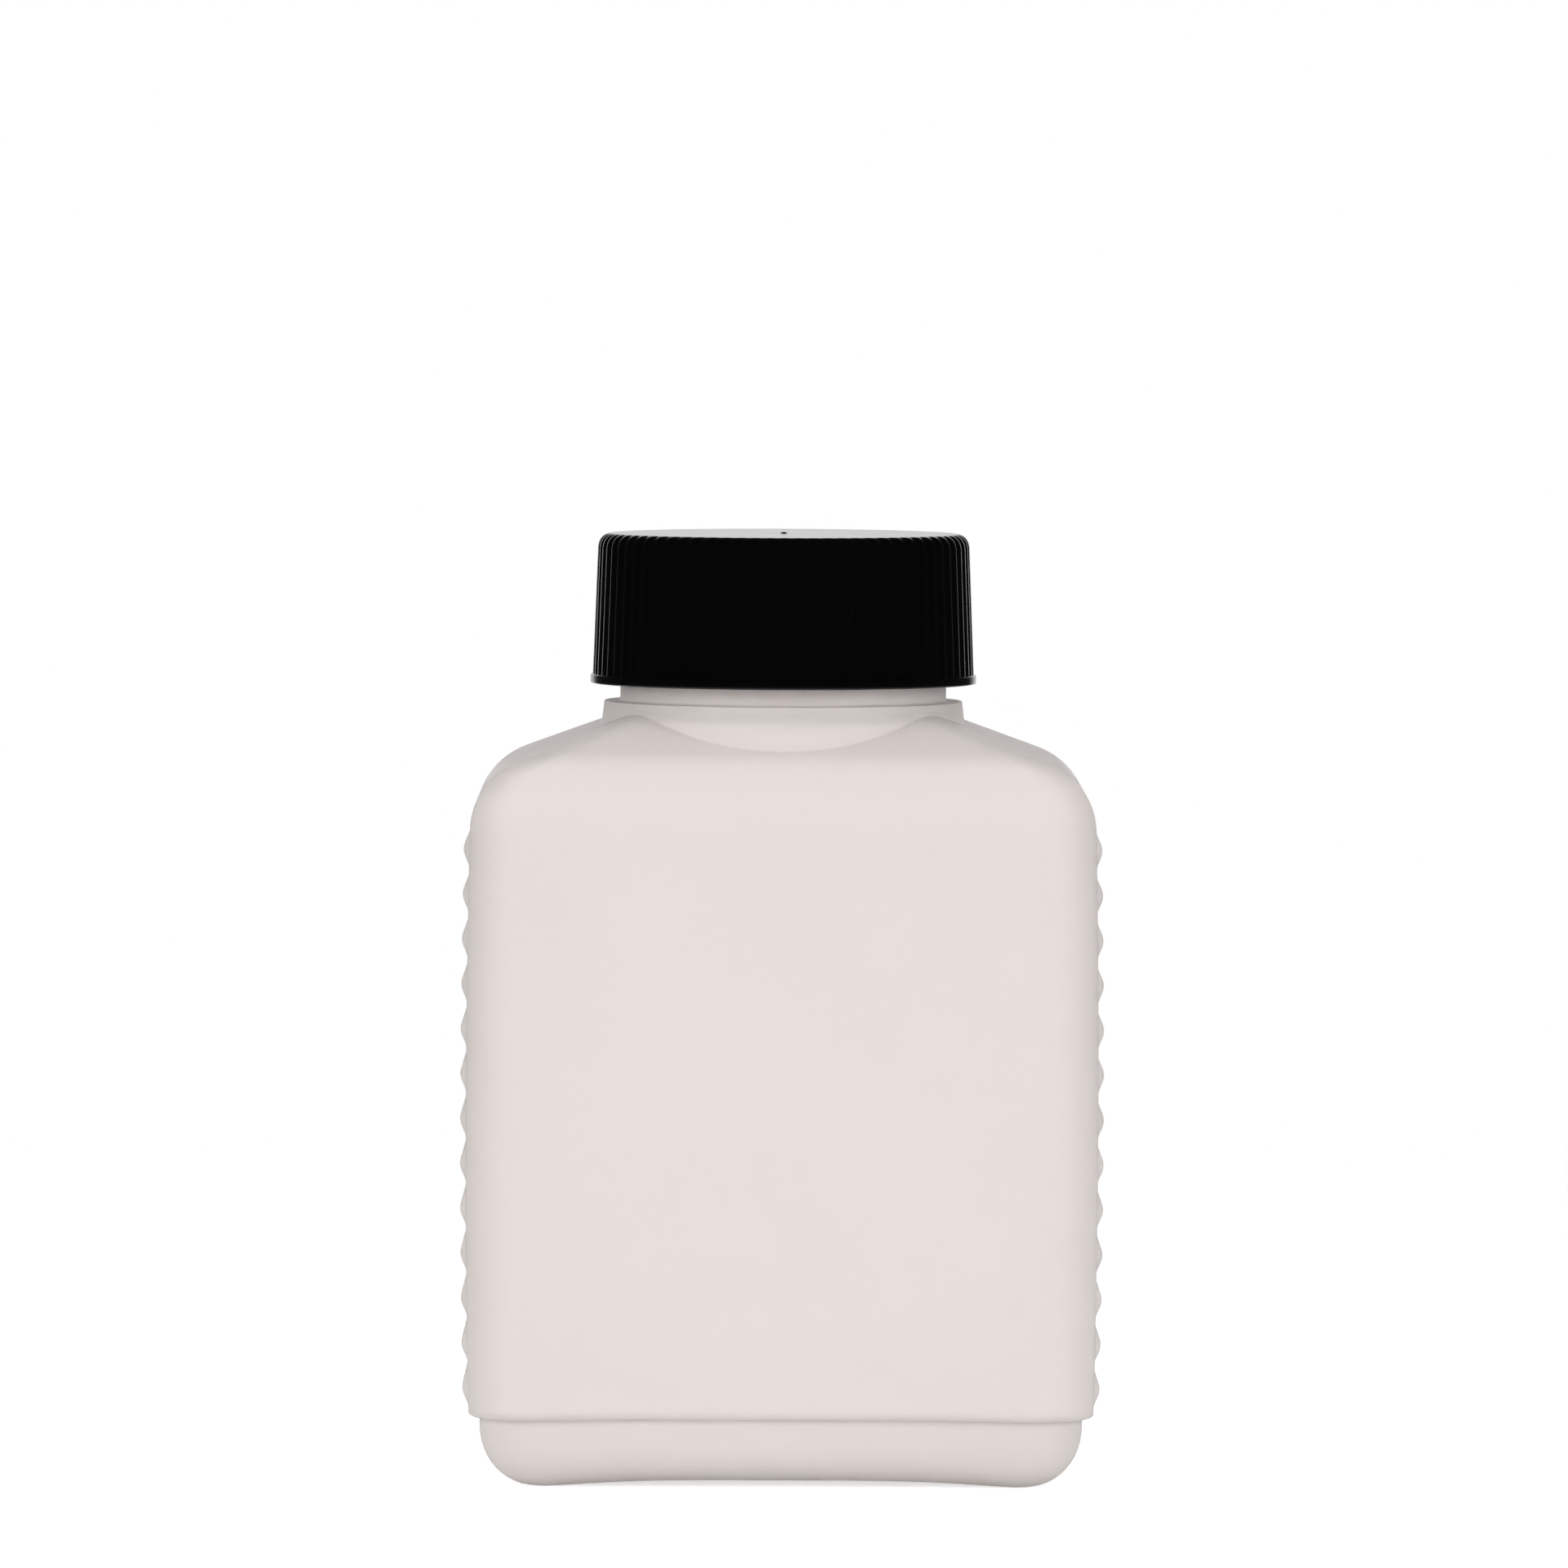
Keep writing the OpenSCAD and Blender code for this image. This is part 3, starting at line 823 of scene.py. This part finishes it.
@dataclass
class Closure:
    """The knurled screw cap and the sealing disc under its top plate."""

    rim_z: float
    neck_d: float
    thread_z: float
    # Cap
    cap_h: float = 20.95
    cap_d: float = 53.3
    cap_taper: float = 1.45
    cap_round: float = 1.8
    cap_top: float = 1.8
    top_margin: float = 1.0
    flange_d: float = 54.0
    flange_h: float = 1.25
    edge: float = 0.2
    gate_d: float = 0.9
    gate_h: float = 0.2
    # Knurl: its wave is cut flat at crest and groove, and it starts over a share of the skirt's height
    knurl_count: int = 78
    knurl_depth: float = 0.4
    knurl_flat: float = 0.15
    knurl_start: float = 0.01
    # Sealing disc
    liner_t: float = 1.6
    liner_gap: float = 0.3
    liner_edge: float = 0.25
    # Thread
    thread_gap: float = 0.35
    thread_step: float = 0.3
    thread: Thread = field(default_factory=Thread)
    steps: ClosureSteps = ClosureSteps()

    def __post_init__(self) -> None:
        """Works out the heights and the columns."""
        self.top_z = self.rim_z + self.liner_t + self.cap_top
        self.bottom_z = self.top_z - self.cap_h
        self.bore_r = self.neck_d / 2 + self.thread.height + self.thread_gap
        self.angles = whole_turn(self.knurl_count * self.steps.knurl)

    def knurl(self) -> np.ndarray:
        """Returns how deep the knurl cuts at each column, from 0 on a rib's crest to knurl_depth."""
        wave = 0.5 - 0.5 * np.cos(self.angles * self.knurl_count)
        return self.knurl_depth * smooth(wave * (1.0 + 2.0 * self.knurl_flat) - self.knurl_flat)

    def inside_rows(self) -> list[np.ndarray]:
        """Makes the inside, from under the top plate out and down the threaded bore.

        Returns:
            The rings.
        """
        plate = self.top_z - self.cap_top
        reach = unit_steps(self.steps.plate, first=False) * (self.bore_r - self.edge)
        z = np.arange(plate - self.edge, self.bottom_z + self.edge, -self.thread_step)
        lift = self.thread.rise(self.angles, z, self.thread_z - self.thread.pitch / 2)
        return [revolved(reach, plate, self.angles), revolved(self.bore_r - lift, z, self.angles)]

    def outside_rows(self) -> list[np.ndarray]:
        """Makes the flange with its two rounded edges, the knurled and tapered skirt and the top.

        The knurl starts in a short step over the flange, and fades over the top's rounding by the
        square root of the cosine of the angle round it.

        Returns:
            The rings, from the lower edge up and in to the gate mark on the top.
        """
        turn = quarter_turn(self.steps.flange)
        edge, flange = self.edge, self.flange_d / 2
        low = self.bottom_z + self.flange_h
        rows = [revolved(self.bore_r + edge, self.bottom_z, self.angles),
                revolved(flange - edge * (1.0 - np.sin(turn)),
                         self.bottom_z + edge * (1.0 - np.cos(turn)), self.angles),
                revolved(flange - edge * (1.0 - np.cos(turn)), low - edge * (1.0 - np.sin(turn)),
                         self.angles)]
        shoulder = self.top_z - self.cap_round
        share = np.linspace(self.knurl_start, 1.0, self.steps.skirt + 1)
        share = np.concatenate([[0.0], share])[:, None]
        depth = self.knurl() * np.minimum(1.0, share / self.knurl_start)
        slim = self.cap_taper / 2 * share * (shoulder - low) / (shoulder - self.bottom_z)
        rows.append(revolved(self.cap_d / 2 - slim - depth, low + (shoulder - low) * share, self.angles))
        turn = quarter_turn(self.steps.top_round, first=False)[:, None]
        top_r = (self.cap_d - self.cap_taper) / 2
        rows.append(revolved(
            top_r - self.cap_round * (1.0 - np.cos(turn)) - self.knurl() * np.cos(turn) ** 0.5,
            shoulder + self.cap_round * np.sin(turn), self.angles))
        flat = np.linspace(top_r - self.cap_round - self.top_margin, self.gate_d, self.steps.top + 1)
        rows.append(revolved(flat, self.top_z, self.angles))
        turn = quarter_turn(self.steps.gate)[:-1]
        rows.append(revolved(self.gate_d / 2 * np.cos(turn), self.top_z + self.gate_h * np.sin(turn),
                             self.angles))
        return rows

    def build_cap(self) -> bpy.types.Object:
        """Builds the screw cap as one closed surface, down its bore and up its knurled outside.

        Returns:
            The cap.
        """
        rows = np.concatenate([*self.inside_rows(), *self.outside_rows()])
        piece = closed_surface("knurled_cap", np.array([0, 0, self.top_z - self.cap_top]), rows,
                               np.array([0, 0, self.top_z + self.gate_h]))
        piece.data.materials.append(BLACK.material())
        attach(piece, "cap")
        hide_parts("screw_cap")
        LOG.info("cap: %d rings of %d points", len(rows), len(self.angles))
        return piece

    def build_liner(self) -> bpy.types.Object:
        """Builds the foam disc with slightly rounded edges.

        Returns:
            The disc.
        """
        angles = whole_turn(self.steps.liner_round)
        radius, edge = self.bore_r - self.liner_gap, self.liner_edge
        turn = quarter_turn(self.steps.liner_edge)
        rise = turn[1:]
        reach = unit_steps(self.steps.liner, first=False) * (radius - edge)
        low, high = self.rim_z, self.rim_z + self.liner_t
        rows = np.concatenate([
            revolved(reach, low, angles),
            revolved(radius - edge * (1.0 - np.sin(rise)), low + edge * (1.0 - np.cos(rise)), angles),
            revolved(radius - edge * (1.0 - np.cos(turn)), high - edge * (1.0 - np.sin(turn)), angles),
            revolved(reach[-2::-1], high, angles)])
        piece = closed_surface("sealing_disc", np.array([0, 0, low]), rows, np.array([0, 0, high]))
        piece.data.materials.append(FOAM.material())
        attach(piece, "cap_lift")
        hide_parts("cap_liner")
        LOG.info("sealing disc: %.2f mm across", 2 * radius)
        return piece


@dataclass(frozen=True)
class Lamp:
    """A soft rectangular lamp: where it stands, its width and height, and its power in watts."""

    name: str
    place: tuple[float, float, float]
    size: tuple[float, float]
    power: float

    def build(self, aim_z: float) -> None:
        """Adds the lamp, which lights the scene but isn't seen or mirrored itself.

        Args:
            aim_z: Height of the point on the bottle's axis that it faces.
        """
        data = bpy.data.lights.new(self.name, "AREA")
        data.shape, data.energy = "RECTANGLE", self.power
        data.size, data.size_y = self.size[0] * MM, self.size[1] * MM
        lamp = bpy.data.objects.new(self.name, data)
        lamp.visible_camera = lamp.visible_glossy = False
        bpy.context.scene.collection.objects.link(lamp)
        place = Vector(self.place) * MM
        aim = Vector((0.0, 0.0, aim_z)) * MM - place
        lamp.matrix_world = Matrix.Translation(place) @ aim.to_track_quat("-Z", "Y").to_matrix().to_4x4()


LAMPS = (Lamp("top_lamp", (0.0, -350.0, 1200.0), (2400.0, 700.0), 8.8),
         Lamp("front_lamp", (0.0, -1600.0, 130.0), (2400.0, 1000.0), 9.7),
         Lamp("left_lamp", (-1200.0, -900.0, 400.0), (800.0, 600.0), 11.5),
         Lamp("right_lamp", (1200.0, -900.0, 400.0), (800.0, 600.0), 11.5),
         Lamp("back_lamp", (0.0, 1600.0, 500.0), (2400.0, 800.0), 12.0))


@dataclass
class Studio:
    """Floor, world, lamps and camera.

    The sweep is the white backdrop. It begins for directions whose part along +Y is sweep_from, and is
    full from sweep_to on.
    """

    # Camera, with its turn round the bottle and its roll in degrees
    distance: float = 1875.0
    camera_z: float = 181.95
    aim_z: float = 96.55
    aim_x: float = 0.16
    yaw: float = 0.21
    roll: float = 0.24
    lens: float = 307.7
    sensor: float = 36.0
    near: float = 50.0
    far: float = 50000.0
    # World
    dim: float = 0.03
    sweep: float = 0.95
    sweep_from: float = 0.86
    sweep_to: float = 1.0
    # Floor
    floor_white: float = 0.92
    floor_fade_from: float = 100.0
    floor_fade_to: float = 600.0
    floor_glow: float = 0.6
    glow_share: float = 0.4
    # Lamps
    lamp_aim_z: float = 65.0

    def camera(self) -> None:
        """Puts the camera in front of the bottle, a little to its left, and makes it the scene's."""
        data = bpy.data.cameras.new("camera")
        data.lens, data.sensor_width = self.lens, self.sensor
        data.clip_start, data.clip_end = self.near * MM, self.far * MM
        eye = bpy.data.objects.new("camera", data)
        bpy.context.scene.collection.objects.link(eye)
        side = math.radians(self.yaw)
        back = -self.distance
        place = Vector((back * math.sin(side), back * math.cos(side), self.camera_z)) * MM
        target = Vector((self.aim_x, 0.0, self.aim_z)) * MM
        turned = (target - place).to_track_quat("-Z", "Y").to_matrix().to_4x4()
        turned = turned @ Matrix.Rotation(math.radians(self.roll), 4, "Z")
        eye.matrix_world = Matrix.Translation(place) @ turned
        bpy.context.scene.camera = eye

    def world(self) -> None:
        """Makes a white sweep behind a dim room: strength dim + (sweep - dim) smooth(direction along Y).

        Camera rays and rays through see-through plastic meet pure white all over, and mirrored rays meet
        it where the sweep is.
        """
        world = bpy.data.worlds.new("world")
        world.use_nodes = True
        bpy.context.scene.world = world
        shader = Shader(world.node_tree)
        camera, through, mirrored = shader.rays()
        direction = shader.node("ShaderNodeTexCoord", output="Generated")
        along = shader.node("ShaderNodeSeparateXYZ", {}, {"Vector": direction}, "Y")
        behind = shader.smooth_range(along, self.sweep_from, self.sweep_to, 0.0, 1.0)
        white = shader.node("ShaderNodeMath", {"operation": "ADD", "use_clamp": True}, {
            0: camera + through, 1: mirrored * behind})
        strength = white + (1.0 - white) * (self.dim + (self.sweep - self.dim) * behind)
        light = shader.node("ShaderNodeBackground", {}, {"Color": WHITE, "Strength": strength})
        shader.node("ShaderNodeOutputWorld", {}, {"Surface": light})

    def floor(self) -> None:
        """Lays a pale square floor that fades out towards its edge, so that the sweep shows behind it.

        It glows a little for camera rays, which keeps the bottle's shadow on it faint, and less for
        mirrored rays and rays through see-through plastic.
        """
        reach = self.floor_fade_to * MM
        mesh = bpy.data.meshes.new("floor")
        mesh.from_pydata([(-reach, -reach, 0), (reach, -reach, 0), (reach, reach, 0), (-reach, reach, 0)],
                         [], [(0, 1, 2, 3)])
        floor = bpy.data.objects.new("floor", mesh)
        bpy.context.scene.collection.objects.link(floor)
        material = bpy.data.materials.new("floor")
        material.use_nodes = True
        shader = Shader(material.node_tree)
        camera, through, mirrored = shader.rays()
        place = shader.node("ShaderNodeTexCoord", output="Object")
        away = shader.node("ShaderNodeVectorMath", {"operation": "LENGTH"}, {0: place}, "Value")
        solid = shader.smooth_range(away, self.floor_fade_from * MM, reach, 1.0, 0.0)
        matt = shader.node("ShaderNodeBsdfDiffuse", {}, {"Color": (*3 * (self.floor_white,), 1.0)})
        seen = (camera + (through + mirrored) * self.glow_share) * self.floor_glow
        glow = shader.node("ShaderNodeEmission", {}, {"Color": WHITE, "Strength": seen})
        clear = shader.node("ShaderNodeBsdfTransparent", {}, {"Color": WHITE})
        both = shader.node("ShaderNodeAddShader", {}, {0: matt, 1: glow})
        faded = shader.node("ShaderNodeMixShader", {}, {0: solid, 1: clear, 2: both})
        shader.node("ShaderNodeOutputMaterial", {}, {"Surface": faded})
        mesh.materials.append(material)

    def build(self) -> None:
        """Sets the whole stage up."""
        bpy.context.scene.view_settings.view_transform = "Standard"
        self.camera()
        self.world()
        self.floor()
        for lamp in LAMPS:
            lamp.build(self.lamp_aim_z)


def main() -> None:
    """Builds the stage, the bottle and its closure."""
    logging.basicConfig(level=logging.INFO)
    Studio().build()
    bottle = Bottle()
    bottle.build()
    closure = Closure(bottle.rim_z, bottle.neck_d, bottle.thread_z)
    closure.build_cap()
    closure.build_liner()


if __name__ == "__main__":
    main()
